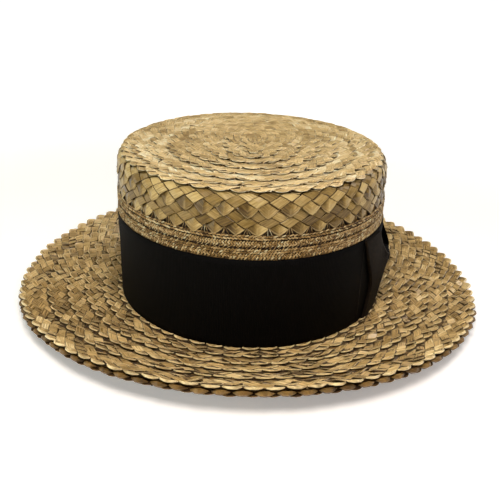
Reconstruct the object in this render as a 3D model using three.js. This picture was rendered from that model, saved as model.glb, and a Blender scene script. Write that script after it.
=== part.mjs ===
// Straw boater hat: plaited straw crown and double brim, black ribbon band and side bow.
// Millimetres, +Z up. The hat stands on the flat inner ring of its under brim, front towards -Y.

import * as THREE from 'three';

// Head oval: outer face of the crown wall at its foot, as half sizes along X and Y.
const CROWN_HALF_X = 84.9;
const CROWN_HALF_Y = 100.3;
const WALL = 2.6;
const GAP = 0.3;

// Heights of the stack above the surface that the hat stands on.
const UNDER_TOP = 1.8;
const BRIM_BOTTOM = UNDER_TOP + GAP;
const BRIM_TOP = 4.2;
const BAND_TOP = 61.0;
const LOWER_BRAID_TOP = 67.4;
const UPPER_BRAID_TOP = 75.2;
const CROWN_TOP = 101.1;

// The crown leans outward by this much between its foot and the start of the shoulder.
const FLARE = 3.2;
const SHOULDER_RADIUS = 8.0;
const SHOULDER_START = CROWN_TOP - SHOULDER_RADIUS;

// Brim: width beyond the crown, flat inner ring, and how far the edge turns up.
const BRIM_WIDTH = 67.3;
const BRIM_FLAT = 6.0;
const EDGE_RISE = 8.4;
const EDGE_RISE_WAVE = 3.77;
const RISE_POWER = 1.25;
const UNDER_SAG = 0.6;
const UNDER_REACH = 1.0;
const ROW_STEP = 0.9;
const BRIM_ROW_EDGES = [6.5, 18.6, 30.7, 42.8, 54.9];
const BRIM_TEETH = 96;
const TOOTH_DEPTH = 4.15;

// Tip of the crown: row edges measured inward from the widest oval of the crown.
const TIP_THICKNESS = 2.4;
const TIP_EDGE_TURN = 0.72;
const TIP_ROW_INSETS = [10.0, 20.7, 31.4, 42.1, 52.8, 63.5, 74.2];
const TIP_CORE_INSET = 82.0;

// Side of the crown: two rows of plait, each ending below in a ring of points.
const SIDE_TEETH = 54;
const SIDE_FOOT = UPPER_BRAID_TOP + GAP;
const SIDE_ROW_FEET = [SIDE_FOOT, 86.0];
const SIDE_TOP = 98.6;
const DIAMOND_TOP = 6.9;
const SIDE_RELIEF = 0.6;

// Ribbon band and bow.
const RIBBON = 1.0;
const RIBBON_MIDDLE = 33.0;
const RIBBON_HALF_HEIGHT = 27.5;
const BOW_ANGLE = -0.087;
const BOW_RADIUS = 100.0;
const KNOT_HALF_WIDTH = 6.0;
const KNOT_HALF_HEIGHT = 8.0;
const KNOT_DEPTH = 7.0;
const GATHER_HALF_HEIGHT = 5.5;
const LOOP_REACH = { middle: 42.0, top: 58.0, bottom: 49.0 };
const LOOP_LAYERS = {
  inner: { gatherLength: 24.0, bulge: 0.0 },
  outer: { gatherLength: 34.0, bulge: 2.4 },
};
const FOLD_RADIUS = 0.8;

const RING_SIDES = 60;
const SIDE_LENGTH = 11.0;

const STRAW_TIP = { color: 0xb99a5e, roughness: 0.55 };
const STRAW_SIDE = { color: 0xb08f58, roughness: 0.5 };
const STRAW_BRIM = { color: 0xa98250, roughness: 0.55 };
const RIBBON_BLACK = { color: 0x171514, roughness: 0.75 };

function material(look) {
  return new THREE.MeshStandardMaterial({ ...look, metalness: 0 });
}

// A triangle mesh from points and triangles, turned so that its faces look outward.
function solid(name, points, triangles, look) {
  let volume = 0;
  for (const [a, b, c] of triangles) {
    volume += points[a].clone().cross(points[b]).dot(points[c]);
  }
  const geometry = new THREE.BufferGeometry().setFromPoints(points);
  geometry.setIndex(triangles.flatMap(([a, b, c]) => (volume > 0 ? [a, b, c] : [a, c, b])));
  geometry.computeVertexNormals();
  const mesh = new THREE.Mesh(geometry, material(look));
  mesh.name = name;
  return mesh;
}

// Point of the oval that lies a set distance outside the crown's foot.
function ovalPoint(angle, out, z) {
  return new THREE.Vector3((CROWN_HALF_X + out) * Math.cos(angle), (CROWN_HALF_Y + out) * Math.sin(angle), z);
}

function ovalLength(out) {
  return Math.PI * (CROWN_HALF_X + CROWN_HALF_Y + 2 * out);
}

// Closed loop of points; shape gives { out, z } at each angle.
function loop(count, shape) {
  return Array.from({ length: count }, (_, i) => {
    const angle = (2 * Math.PI * i) / count;
    const { out, z } = shape(angle, i);
    return { angle, point: ovalPoint(angle, out, z) };
  });
}

function plainLoop(out, z, count = RING_SIDES) {
  return loop(count, () => ({ out, z }));
}

// Triangles between two loops that may hold different numbers of points.
function bridge(first, second, firstStart, secondStart) {
  const triangles = [];
  const turn = (points, i) => (i < points.length ? points[i].angle : 2 * Math.PI);
  let i = 0;
  let j = 0;
  while (i < first.length || j < second.length) {
    const a = firstStart + (i % first.length);
    const b = secondStart + (j % second.length);
    const firstIsNext = turn(first, i + 1) <= turn(second, j + 1);
    if (j >= second.length || (i < first.length && firstIsNext)) {
      i += 1;
      triangles.push([a, firstStart + (i % first.length), b]);
    } else {
      j += 1;
      triangles.push([a, secondStart + (j % second.length), b]);
    }
  }
  return triangles;
}

function fan(start, count, centre, flipped) {
  return Array.from({ length: count }, (_, i) => {
    const a = start + i;
    const b = start + ((i + 1) % count);
    return flipped ? [b, a, centre] : [a, b, centre];
  });
}

// Solid wrapped round a chain of loops: a ring when the chain closes, a disc when both ends are capped.
function loopSolid(name, loops, look, capped = false) {
  const points = loops.flatMap((one) => one.map((entry) => entry.point));
  const starts = [];
  loops.reduce((start, one) => {
    starts.push(start);
    return start + one.length;
  }, 0);
  const triangles = [];
  const links = capped ? loops.length - 1 : loops.length;
  for (let k = 0; k < links; k += 1) {
    const next = (k + 1) % loops.length;
    triangles.push(...bridge(loops[k], loops[next], starts[k], starts[next]));
  }
  if (capped) {
    const last = loops.length - 1;
    points.push(new THREE.Vector3(0, 0, loops[0][0].point.z));
    triangles.push(...fan(starts[0], loops[0].length, points.length - 1, true));
    points.push(new THREE.Vector3(0, 0, loops[last][0].point.z));
    triangles.push(...fan(starts[last], loops[last].length, points.length - 1, false));
  }
  return solid(name, points, triangles, look);
}

// Outward lean of the crown wall at a height.
function flare(z) {
  return FLARE * Math.min(1, (z - BRIM_TOP) / (SHOULDER_START - BRIM_TOP));
}

// Outer face of the crown above the braids: up the wall, then round the shoulder by its arc length.
function crownFace(height, depth = 0) {
  if (height <= SHOULDER_START) {
    return { out: flare(height) - depth, z: height };
  }
  const turn = (height - SHOULDER_START) / SHOULDER_RADIUS;
  const radius = SHOULDER_RADIUS - depth;
  return {
    out: FLARE - SHOULDER_RADIUS + radius * Math.cos(turn),
    z: SHOULDER_START + radius * Math.sin(turn),
  };
}

function smoothStep(x) {
  const t = Math.min(1, Math.max(0, x));
  return t * t * (3 - 2 * t);
}

// Brim
// The edge stands higher at the front and back than at the sides.
function brimRise(out, angle, sag = 0) {
  const share = Math.max(0, (out - BRIM_FLAT) / (BRIM_WIDTH - BRIM_FLAT));
  return (EDGE_RISE - EDGE_RISE_WAVE * Math.cos(2 * angle) - sag) * share ** RISE_POWER;
}

function brimLoop(out, height, sag = 0) {
  const count = 2 * Math.round(ovalLength(out) / SIDE_LENGTH / 2);
  return loop(count, (angle) => ({ out, z: height + brimRise(out, angle, sag) }));
}

function toothedLoop(reach, height, sag = 0) {
  return loop(2 * BRIM_TEETH, (angle, i) => {
    const out = reach - (i % 2) * TOOTH_DEPTH;
    return { out, z: height + brimRise(out, angle, sag) };
  });
}

// Upper brim: each row of plait tilts up to a stepped edge that lies over the next row.
function brim() {
  const loops = [brimLoop(-WALL, BRIM_TOP), brimLoop(RIBBON + 2 * GAP, BRIM_TOP)];
  for (const edge of BRIM_ROW_EDGES) {
    loops.push(brimLoop(edge, BRIM_TOP + ROW_STEP));
    loops.push(brimLoop(edge, BRIM_TOP));
  }
  loops.push(toothedLoop(BRIM_WIDTH, BRIM_TOP + ROW_STEP));
  loops.push(toothedLoop(BRIM_WIDTH, BRIM_BOTTOM + ROW_STEP / 2));
  loops.push(brimLoop(BRIM_ROW_EDGES[2], BRIM_BOTTOM));
  loops.push(brimLoop(BRIM_FLAT, BRIM_BOTTOM));
  loops.push(brimLoop(-WALL, BRIM_BOTTOM));
  return loopSolid('brim', loops, STRAW_BRIM);
}

// Under brim: a second layer whose points show below the first, flat where the hat stands.
function brimUnder() {
  const reach = BRIM_WIDTH + UNDER_REACH;
  const loops = [
    brimLoop(-WALL, UNDER_TOP, UNDER_SAG),
    brimLoop(BRIM_FLAT, UNDER_TOP, UNDER_SAG),
    brimLoop(BRIM_ROW_EDGES[2], UNDER_TOP, UNDER_SAG),
    toothedLoop(reach, UNDER_TOP, UNDER_SAG),
    toothedLoop(reach, 0, UNDER_SAG),
    brimLoop(BRIM_ROW_EDGES[2], 0, UNDER_SAG),
    brimLoop(BRIM_FLAT, 0, UNDER_SAG),
    brimLoop(-WALL, 0, UNDER_SAG),
  ];
  return loopSolid('brim_under', loops, STRAW_BRIM);
}

// Crown wall and braids
// A ring whose outer face follows rows of { z, proud }, proud of the leaning crown face.
function wallRing(name, bottom, top, rows, look) {
  const loops = [plainLoop(flare(bottom) - WALL, bottom)];
  for (const { z, proud } of rows) {
    loops.push(plainLoop(flare(z) + proud, z));
  }
  loops.push(plainLoop(flare(top) - WALL, top));
  return loopSolid(name, loops, look);
}

function crownBase() {
  const bottom = BRIM_TOP + GAP;
  const rows = [
    { z: bottom, proud: 0 },
    { z: BAND_TOP, proud: 0 },
  ];
  return wallRing('crown_base', bottom, BAND_TOP, rows, STRAW_SIDE);
}

// Lower fancy braid: a ribbed tape, then two cords.
function braidLower() {
  const bottom = BAND_TOP + GAP;
  const rows = [
    { z: bottom, proud: -0.3 },
    { z: bottom + 1.2, proud: 0.6 },
    { z: bottom + 2.5, proud: -0.7 },
    { z: bottom + 3.3, proud: 0.3 },
    { z: bottom + 4.2, proud: -0.7 },
    { z: bottom + 5.1, proud: 0.3 },
    { z: LOWER_BRAID_TOP, proud: -0.8 },
  ];
  return wallRing('braid_lower', bottom, LOWER_BRAID_TOP, rows, STRAW_SIDE);
}

// Upper fancy braid: a broad ribbed tape, then one cord.
function braidUpper() {
  const bottom = LOWER_BRAID_TOP + GAP;
  const rows = [
    { z: bottom, proud: -0.6 },
    { z: bottom + 1.0, proud: 0.5 },
    { z: bottom + 3.2, proud: 0.6 },
    { z: bottom + 4.5, proud: -0.6 },
    { z: bottom + 5.6, proud: 0.4 },
    { z: UPPER_BRAID_TOP, proud: -0.5 },
  ];
  return wallRing('braid_upper', bottom, UPPER_BRAID_TOP, rows, STRAW_SIDE);
}

// Loop round the crown's side: points and notches take turns, each with its own height and depth.
function sideLoop(point, notch) {
  return loop(2 * SIDE_TEETH, (_, i) => {
    const { height, proud } = i % 2 ? notch : point;
    return crownFace(height, -proud);
  });
}

// Side plait: two toothed rows, the upper one stepped out over the lower, with raised diamonds.
function sidePlait() {
  const loops = [];
  for (const foot of SIDE_ROW_FEET) {
    const step = foot === SIDE_FOOT ? -WALL : -SIDE_RELIEF / 2;
    const notch = foot + TOOTH_DEPTH;
    const crossing = foot + DIAMOND_TOP;
    loops.push(sideLoop({ height: foot, proud: step }, { height: notch, proud: step }));
    loops.push(sideLoop({ height: foot, proud: SIDE_RELIEF }, { height: notch, proud: 0 }));
    loops.push(sideLoop({ height: crossing, proud: 0 }, { height: crossing, proud: SIDE_RELIEF }));
  }
  const top = { height: SIDE_TOP, proud: 0 };
  const innerTop = { height: SIDE_TOP, proud: -WALL };
  const innerMiddle = { height: SIDE_ROW_FEET[1], proud: -WALL };
  loops.push(sideLoop(top, top), sideLoop(innerTop, innerTop), sideLoop(innerMiddle, innerMiddle));
  return loopSolid('side_plait', loops, STRAW_SIDE);
}

// Tip of the crown: stepped rows round a long core, turned down over the shoulder at the rim.
function crownTip() {
  const rowLoop = (inset, z) => {
    const out = FLARE - inset;
    return plainLoop(out, z, Math.max(16, 2 * Math.round(ovalLength(out) / SIDE_LENGTH / 2)));
  };
  const flat = CROWN_TOP - ROW_STEP;
  const loops = [rowLoop(TIP_CORE_INSET, flat)];
  for (const inset of [...TIP_ROW_INSETS].reverse()) {
    loops.push(rowLoop(inset, CROWN_TOP), rowLoop(inset, flat));
  }
  const turned = (turn, depth) => crownFace(SHOULDER_START + SHOULDER_RADIUS * turn, depth);
  for (const turn of [1.2, TIP_EDGE_TURN]) {
    const { out, z } = turned(turn, 0);
    loops.push(rowLoop(FLARE - out, z));
  }
  for (const turn of [TIP_EDGE_TURN, 1.2]) {
    const { out, z } = turned(turn, WALL);
    loops.push(rowLoop(FLARE - out, z));
  }
  loops.push(rowLoop(TIP_ROW_INSETS[1], CROWN_TOP - ROW_STEP - TIP_THICKNESS));
  loops.push(rowLoop(TIP_ROW_INSETS[5], CROWN_TOP - ROW_STEP - TIP_THICKNESS));
  return loopSolid('crown_tip', loops, STRAW_TIP, true);
}

// Ribbon
function hatBand() {
  const bottom = BRIM_TOP + GAP;
  const loops = [
    plainLoop(flare(bottom) + GAP, bottom),
    plainLoop(flare(bottom) + GAP + RIBBON, bottom),
    plainLoop(flare(BAND_TOP) + GAP + RIBBON, BAND_TOP),
    plainLoop(flare(BAND_TOP) + GAP, BAND_TOP),
  ];
  return loopSolid('hat_band', loops, RIBBON_BLACK);
}

// Point beside the band: along it from the middle of the bow, proud of its face, at a height.
function bandPoint(along, proud, z) {
  const angle = BOW_ANGLE + along / BOW_RADIUS;
  const normal = new THREE.Vector3(Math.cos(angle) / CROWN_HALF_X, Math.sin(angle) / CROWN_HALF_Y, 0).normalize();
  return ovalPoint(angle, flare(z) + GAP + RIBBON, z).addScaledVector(normal, proud);
}

// How far the loop's folded end lies from the knot at a share of the ribbon's half height.
function loopReach(share) {
  const extra = share > 0 ? LOOP_REACH.top - LOOP_REACH.middle : LOOP_REACH.bottom - LOOP_REACH.middle;
  return LOOP_REACH.middle + extra * share * share;
}

// Middle of the ribbon in a loop: out along the inner layer, round the fold, back along the outer one.
function loopStations() {
  const stations = [];
  const steps = 8;
  for (let i = 0; i <= steps; i += 1) {
    stations.push({ layer: LOOP_LAYERS.inner, travel: i / steps, lift: 0, round: 0 });
  }
  stations.push({ layer: LOOP_LAYERS.outer, travel: 1, lift: FOLD_RADIUS, round: FOLD_RADIUS });
  for (let i = steps; i >= 0; i -= 1) {
    stations.push({ layer: LOOP_LAYERS.outer, travel: i / steps, lift: 2 * FOLD_RADIUS, round: 0 });
  }
  return stations;
}

function bowLoop(name, side) {
  const stations = loopStations();
  const shares = [-1, -0.67, -0.33, 0, 0.33, 0.67, 1];
  const start = KNOT_HALF_WIDTH + GAP;
  const seat = GAP + RIBBON / 2;
  const gatherDepth = KNOT_DEPTH - seat - 2 * FOLD_RADIUS - RIBBON;
  const middle = stations.map(({ layer, travel, lift, round }) => shares.map((share) => {
    const along = start + (loopReach(share) - FOLD_RADIUS - start) * travel + round;
    const open = smoothStep((along - start) / layer.gatherLength);
    const half = GATHER_HALF_HEIGHT + (RIBBON_HALF_HEIGHT - GATHER_HALF_HEIGHT) * open;
    const bulge = layer.bulge * Math.sin(Math.PI * Math.min(1, travel)) * (1 - 0.4 * share * share);
    const proud = seat + gatherDepth * (1 - open) + lift + bulge;
    return bandPoint(side * along, proud, RIBBON_MIDDLE + half * share);
  }));
  const rows = stations.length;
  const columns = shares.length;
  const normalAt = (i, j) => {
    const along = middle[Math.min(i + 1, rows - 1)][j].clone().sub(middle[Math.max(i - 1, 0)][j]);
    const up = middle[i][Math.min(j + 1, columns - 1)].clone().sub(middle[i][Math.max(j - 1, 0)]);
    return along.cross(up).normalize();
  };
  const points = [];
  for (const offset of [RIBBON / 2, -RIBBON / 2]) {
    middle.forEach((row, i) => row.forEach((point, j) => {
      points.push(point.clone().addScaledVector(normalAt(i, j), offset));
    }));
  }
  const at = (face, i, j) => face * rows * columns + i * columns + j;
  const triangles = [];
  const quad = (a, b, c, d) => triangles.push([a, b, c], [a, c, d]);
  for (let i = 0; i + 1 < rows; i += 1) {
    for (let j = 0; j + 1 < columns; j += 1) {
      quad(at(0, i, j), at(0, i + 1, j), at(0, i + 1, j + 1), at(0, i, j + 1));
      quad(at(1, i, j), at(1, i, j + 1), at(1, i + 1, j + 1), at(1, i + 1, j));
    }
    quad(at(0, i + 1, 0), at(0, i, 0), at(1, i, 0), at(1, i + 1, 0));
    quad(at(0, i, columns - 1), at(0, i + 1, columns - 1), at(1, i + 1, columns - 1), at(1, i, columns - 1));
  }
  for (let j = 0; j + 1 < columns; j += 1) {
    quad(at(0, 0, j), at(0, 0, j + 1), at(1, 0, j + 1), at(1, 0, j));
    quad(at(0, rows - 1, j + 1), at(0, rows - 1, j), at(1, rows - 1, j), at(1, rows - 1, j + 1));
  }
  return solid(name, points, triangles, RIBBON_BLACK);
}

// Knot: a short wrap of ribbon between the two loops, rounded towards its outer face.
function bowKnot() {
  const slices = 5;
  const sides = 14;
  const points = [];
  const triangles = [];
  for (let i = 0; i < slices; i += 1) {
    const share = -1 + (2 * i) / (slices - 1);
    const waist = 0.85 + 0.15 * Math.abs(share);
    for (let k = 0; k < sides; k += 1) {
      const turn = (2 * Math.PI * k) / sides;
      const rounded = (value) => Math.sign(value) * Math.abs(value) ** 0.6;
      const z = RIBBON_MIDDLE + KNOT_HALF_HEIGHT * waist * rounded(Math.sin(turn));
      const proud = GAP + (KNOT_DEPTH / 2) * (1 + rounded(Math.cos(turn)));
      points.push(bandPoint(KNOT_HALF_WIDTH * share, proud, z));
    }
  }
  for (let i = 0; i + 1 < slices; i += 1) {
    for (let k = 0; k < sides; k += 1) {
      const a = i * sides + k;
      const b = i * sides + ((k + 1) % sides);
      triangles.push([a, b, b + sides], [a, b + sides, a + sides]);
    }
  }
  for (let k = 1; k + 1 < sides; k += 1) {
    const last = (slices - 1) * sides;
    triangles.push([0, k + 1, k], [last, last + k, last + k + 1]);
  }
  return solid('bow_knot', points, triangles, RIBBON_BLACK);
}

const hat = new THREE.Group();
hat.name = 'straw_boater';
hat.add(
  crownTip(),
  sidePlait(),
  braidUpper(),
  braidLower(),
  crownBase(),
  brim(),
  brimUnder(),
  hatBand(),
  bowLoop('bow_loop_front', -1),
  bowLoop('bow_loop_back', 1),
  bowKnot(),
);

export default hat;
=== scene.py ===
"""Straw boater hat: plaits, braids, ribbon and bow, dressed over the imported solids."""

import math

import bpy
import numpy as np
from mathutils import Matrix, Vector


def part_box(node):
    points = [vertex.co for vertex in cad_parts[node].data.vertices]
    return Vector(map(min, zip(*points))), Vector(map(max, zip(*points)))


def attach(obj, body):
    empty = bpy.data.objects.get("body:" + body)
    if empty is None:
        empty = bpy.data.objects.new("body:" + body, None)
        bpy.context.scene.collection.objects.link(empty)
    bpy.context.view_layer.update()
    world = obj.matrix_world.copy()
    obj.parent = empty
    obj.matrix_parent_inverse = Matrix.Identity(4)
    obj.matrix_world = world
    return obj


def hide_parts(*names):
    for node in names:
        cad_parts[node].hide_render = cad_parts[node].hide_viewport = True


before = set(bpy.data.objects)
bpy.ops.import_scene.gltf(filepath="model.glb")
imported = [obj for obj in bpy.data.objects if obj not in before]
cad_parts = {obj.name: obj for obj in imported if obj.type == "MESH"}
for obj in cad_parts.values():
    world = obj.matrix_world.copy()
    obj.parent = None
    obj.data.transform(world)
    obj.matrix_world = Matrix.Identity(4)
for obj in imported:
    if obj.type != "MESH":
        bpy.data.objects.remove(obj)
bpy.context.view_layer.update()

MM = 0.001
TURN = 2 * math.pi
BODY = "root"


def lowest(node, axis):
    """Lowest coordinate of a solid along an axis, in millimetres."""
    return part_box(node)[0][axis] / MM


def highest(node, axis):
    """Highest coordinate of a solid along an axis, in millimetres."""
    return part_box(node)[1][axis] / MM


# Sizes of the hat, in millimetres, from the solids where they show them.
GAP = 0.3
WALL = 2.6
FLARE = 3.2
SHOULDER_RADIUS = 8.0
UNDER_TOP = 1.8
BRIM_FLAT = 6.0
EDGE_RISE = 8.4
EDGE_RISE_WAVE = 3.77
RISE_POWER = 1.25
UNDER_SAG = 0.6
BAND_TOP = highest("hat_band", 2)
BRIM_TOP = lowest("hat_band", 2) - GAP
CROWN_TOP = highest("crown_tip", 2)
SHOULDER_START = CROWN_TOP - SHOULDER_RADIUS
SHOULDER_END = SHOULDER_START + SHOULDER_RADIUS * math.pi / 2
BAND_TOP_FLARE = FLARE * (BAND_TOP - BRIM_TOP) / (SHOULDER_START - BRIM_TOP)
HALF_X = highest("crown_base", 0) - BAND_TOP_FLARE
HALF_Y = highest("crown_base", 1) - BAND_TOP_FLARE
BRIM_WIDTH = highest("brim", 0) - HALF_X
UNDER_WIDTH = highest("brim_under", 0) - HALF_X

# Plaits of the tip, the side and the brim. Lengths are in millimetres, and the rest are shares.
PLAITS = {
    "pitch": (11.9, 12.2, 11.3),  # width of a point
    "depth": (3.2, 3.4, 3.3),  # its height
    "curve": (2.2, 1.0, 2.0),  # power of the curve of its lower edge
    "thick": (0.5, 0.6, 0.4),  # its thickness
    "roof": (0.16, 0.9, 0.35),  # how far its middle stands up
    "fold": (0.3, 0.2, 0.8),  # width of the fold along its edge
    "shadow_skirt": (0.0, 1.2, 0.0),  # width of the painted shadow line under it
    "half": (0.0, 0.4, -0.3),  # how much paler one half of it is, painted light and shade on its two halves
    "crease": (0.0, 0.8, 0.6),  # a pale line along its middle, partly wear and partly a painted highlight
    "notch": (1.0, 0.0, 0.0),  # whether painted shade lies in the notches beside it
    "cell": (3.0, 3.5, 3.0),  # half the height of a woven diamond
    "lean": (1.0, 1.0, -1.0),  # which way the first strands lean
    "first": (0.0, 0.0, 0.1),  # how much paler they are
    "snug": (0.04, -0.04, -0.02),  # how much wider than usual strands are
    "tilt": (0.4, 0.65, 0.95),  # how they rock
    "slit_shade": (0.8, 1.0, 1.0),  # how dark the painted shade in the slits between them is
    "row": (12.0, 10.6, 12.1),  # width of a row
    "fall": (0.7, 1.1, 1.35),  # how far it sinks over that width, so that the next row lies over it
    "dust_and_shade": (0.5, 0.7, 0.88),  # dust and painted shade before the next row
    "painted_light_upwards": (0.0, 0.1, 0.0),  # how much paler a row gets upwards, painted light from above where the crown turns to the top
}
TIP_PLAIT, SIDE_PLAIT, BRIM_PLAIT = (dict(zip(PLAITS, values)) for values in zip(*PLAITS.values()))
RIM_PLAIT = {**TIP_PLAIT, "painted_light_upwards": 0.7}
SHOULDER_PLAIT = {**RIM_PLAIT, "depth": 2.0, "fold": 0.2, "thick": 0.4}
UPPER_PLAIT = {**SIDE_PLAIT, "depth": 4.2, "cell": 4.3, "curve": 1.35, "fold": 0.35, "painted_light_upwards": 0.4}
NEAR_PLAIT = {**BRIM_PLAIT, "cell": 1.6}
EDGE_PLAIT = {**BRIM_PLAIT, "fold": 1.4, "fall": 1.1, "row": 17.0}
LOWER_EDGE_PLAIT = {**EDGE_PLAIT, "fold": 2.6}
BELOW_PLAIT = {**BRIM_PLAIT, "fold": 0.4, "fall": 0.6, "roof": 0.1, "tilt": 0.2}

# Edges of the rows: out from the crown's foot on the brim, and climbs on the crown.
BRIM_ROW_EDGES = [-9.0, 4.2, 14.5, 26.0, 38.0, 50.5, BRIM_WIDTH]
BELOW_ROW_EDGES = [-3.0, 8.5, 20.3, 32.0, 43.8, 55.5, BRIM_WIDTH + 0.2]
LOWER_EDGE_ROW = [UNDER_WIDTH - 12.0, UNDER_WIDTH]
SIDE_ROW_EDGES = [75.6, 86.2, 100.3]
SIDE_PHASES = [0.03, 0.53]
TIP_ROW_EDGES = [100.3, 106.5, 117.8, 129.5, 141.5, 153.7, 165.9, 177.5, 190.0]
BRIM_FACE = BRIM_TOP - 0.1
BELOW_FACE = 1.6


# Surfaces of the hat

def flare(z):
    """Outward lean of the crown wall: a straight line from its foot to the shoulder."""
    return FLARE * np.clip((z - BRIM_TOP) / (SHOULDER_START - BRIM_TOP), 0, 1)


def oval(angle, out, z):
    """Oval that lies a distance out from the crown's foot: half sizes plus out, by cosine and sine."""
    x = (HALF_X + out) * np.cos(angle)
    y = (HALF_Y + out) * np.sin(angle)
    return np.stack(np.broadcast_arrays(x, y, z), -1)


def crown_point(angle, climb, lift):
    """Point on the crown. climb is the length up the wall, round the shoulder's arc and in across the
    top, and lift is the height along the outward normal."""
    turn = np.clip((climb - SHOULDER_START) / SHOULDER_RADIUS, 0, math.pi / 2)
    inward = np.maximum(climb - SHOULDER_END, 0)
    wall = np.minimum(climb, SHOULDER_START)
    out = flare(wall) - SHOULDER_RADIUS * (1 - np.cos(turn)) - inward + lift * np.cos(turn)
    return oval(angle, out, wall + (SHOULDER_RADIUS + lift) * np.sin(turn))


def brim_point(angle, out, z, sag=0.0):
    """Point on the brim: a height z above the flat inner ring, plus a power curve that lifts the edge
    more at the front and back than at the sides."""
    share = np.maximum(out - BRIM_FLAT, 0) / (BRIM_WIDTH - BRIM_FLAT)
    rise = (EDGE_RISE - EDGE_RISE_WAVE * np.cos(2 * angle) - sag) * share ** RISE_POWER
    return oval(angle, out, z + rise)


def even_turn(out, count, way=1):
    """Angle against a running number, so that whole numbers lie evenly round an oval by arc length."""
    angle = np.linspace(0, TURN, 721)
    steps = np.linalg.norm(np.diff(oval(angle, out, 0.0), axis=0), axis=1)
    share = np.concatenate([[0], np.cumsum(steps)]) / steps.sum()

    def turn(number):
        lap, rest = np.divmod(number / count, 1)
        return way * (np.interp(rest, share, angle) + TURN * lap)

    return turn


def oval_length(out):
    """Length round an oval, as a circle of its mean radius."""
    return math.pi * (HALF_X + HALF_Y + 2 * out)


def crown_out(climb):
    """How far the crown's face lies outside its foot at a climb."""
    return float(crown_point(0.0, climb, 0.0)[0]) - HALF_X


# Meshes

STRAW_CREASE = 13
CLOTH_CREASE = 80


def new_piece(name, node, points, faces, materials, uv, look, crease=STRAW_CREASE):
    """Mesh object that stands for a solid, from points in millimetres and arrays of faces, with its UV map
    in centimetres and its look: tone, edge and tuck of each point. faces is a list of (corner array,
    material number), and edges that bend by more than crease degrees stay sharp."""
    mesh = bpy.data.meshes.new(name)
    points = points.reshape(-1, 3) * MM
    corners = np.concatenate([block.ravel() for block, _ in faces])
    sizes = np.concatenate([np.full(len(block), block.shape[1]) for block, _ in faces])
    numbers = np.concatenate([np.full(len(block), number) for block, number in faces])
    mesh.vertices.add(len(points))
    mesh.vertices.foreach_set("co", points.ravel())
    mesh.loops.add(len(corners))
    mesh.loops.foreach_set("vertex_index", corners.astype(np.int32))
    mesh.polygons.add(len(sizes))
    starts = np.concatenate([[0], np.cumsum(sizes)[:-1]])
    mesh.polygons.foreach_set("loop_start", starts.astype(np.int32))
    mesh.polygons.foreach_set("material_index", numbers.astype(np.int32))
    mesh.update(calc_edges=True)
    mesh.shade_smooth()
    mesh.set_sharp_from_angle(angle=math.radians(crease))
    layer = mesh.uv_layers.new(name="straw")
    layer.data.foreach_set("uv", (uv.reshape(-1, 2) / 10)[corners].ravel().astype(np.float32))
    rgba = np.ones((len(points), 4), np.float32)
    rgba[:, :3] = look.reshape(-1, 3)
    mesh.attributes.new("look", "FLOAT_COLOR", "POINT").data.foreach_set("color", rgba.ravel())
    for material in materials:
        mesh.materials.append(material)
    piece = bpy.data.objects.new(name, mesh)
    bpy.context.scene.collection.objects.link(piece)
    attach(piece, BODY)
    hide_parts(node)
    return piece


def straw_piece(name, node, materials, parts):
    """Piece joined from parts, each (points, uv, look, faces), with faces renumbered."""
    points, uvs, looks, faces = [], [], [], []
    start = 0
    for part_points, part_uv, part_look, part_faces in parts:
        points.append(part_points.reshape(-1, 3))
        uvs.append(part_uv.reshape(-1, 2))
        looks.append(part_look.reshape(-1, 3))
        faces += [(block + start, number) for block, number in part_faces]
        start += len(points[-1])
    points, uvs, looks = (np.concatenate(arrays) for arrays in (points, uvs, looks))
    new_piece(name, node, points, faces, materials, uvs, looks)


def copies(block, count, size):
    """Face corners of one small shape, repeated for every copy of it."""
    return (block[None] + (np.arange(count) * size)[:, None, None]).reshape(-1, block.shape[1])


def tile_faces(count, rows, columns):
    """Faces of closed tiles: a grid on top, two strips down its long sides, a strip of quads below and
    a many-sided face at each end."""
    grid = np.arange(rows * columns).reshape(rows, columns)
    rim = rows * columns + np.arange(rows * 2).reshape(rows, 2)
    top = np.stack([grid[:-1, :-1], grid[:-1, 1:], grid[1:, 1:], grid[1:, :-1]], -1).reshape(-1, 4)
    near = np.stack([grid[:-1, 0], grid[1:, 0], rim[1:, 0], rim[:-1, 0]], -1)
    far = np.stack([grid[1:, -1], grid[:-1, -1], rim[:-1, 1], rim[1:, 1]], -1)
    below = np.stack([rim[:-1, 0], rim[1:, 0], rim[1:, 1], rim[:-1, 1]], -1)
    first = np.concatenate([grid[0, ::-1], rim[0]])[None]
    last = np.concatenate([grid[-1], rim[-1, ::-1]])[None]
    size = rows * columns + rows * 2
    blocks = [np.concatenate([top, near, far, below]), np.concatenate([first, last])]
    return [(copies(block, count, size), 0) for block in blocks]


# Woven straw

# Strand: places along and across it in shares of its cell, and its heights there in millimetres.
STRAND_ALONG = np.array([-0.64, -0.46, 0.0, 0.46, 0.64])
STRAND_RISE = np.array([-0.75, 0.0, 0.12, 0.0, -0.75])
STRAND_ACROSS = np.array([-0.5, -0.44, 0.0, 0.44, 0.5])
STRAND_CROWN = np.array([-0.22, 0.0, 0.1, 0.0, -0.22])
STRAND_THICK = 0.55
# How uneven strands are: share of its lane that one fills, shift in pitches, height, and most tilt.
STRAND_FILL = (0.88, 0.98)
STRAND_SHIFT = 0.015
STRAND_BOB = 0.05
MOST_TILT = 1.5
# Length over which the dust and painted shade before the next row fade in.
DUST_AND_SHADE_REACH = 1.6
# Where on a straw its fibres are cut from, so that no two are alike.
FIBRE_DRIFT = 400

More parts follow.
